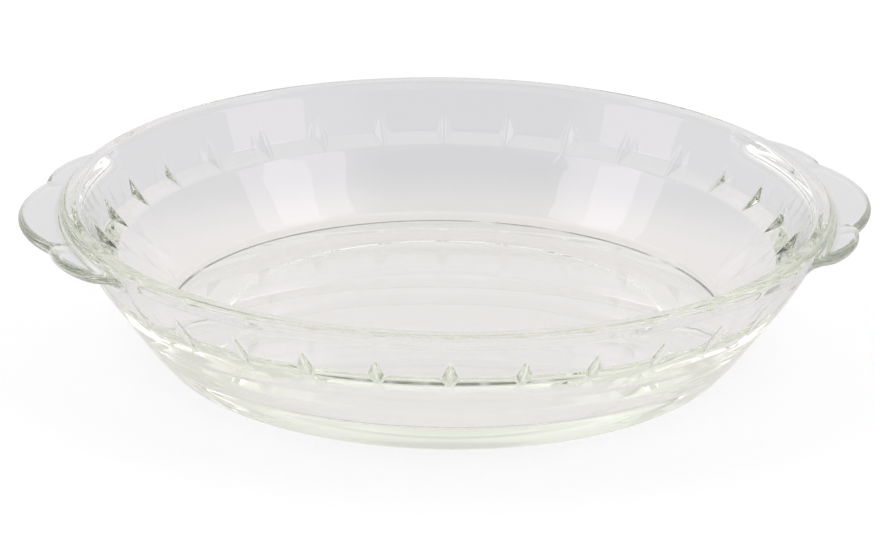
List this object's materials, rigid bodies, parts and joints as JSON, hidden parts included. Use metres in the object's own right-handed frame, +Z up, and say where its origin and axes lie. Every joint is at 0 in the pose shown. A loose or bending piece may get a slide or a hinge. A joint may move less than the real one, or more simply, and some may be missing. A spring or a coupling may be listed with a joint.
{
  "type": "pie dish",
  "caption": "Round pressed-glass pie dish with a flared wall, a ribbed ledge inside and two lobed tab handles.",
  "frame": {"origin": "on the table under the centre of the base", "axes": "+Z up out of the dish; X along the line through the two handles"},
  "size_m": [0.2682, 0.2414, 0.0481],
  "materials": {
    "clear_glass": "smooth fire-polished clear glass with a faint green tint in its thick parts"
  },
  "bodies": {
    "root": {"glass_dish": "clear_glass"}
  },
  "joints": []
}
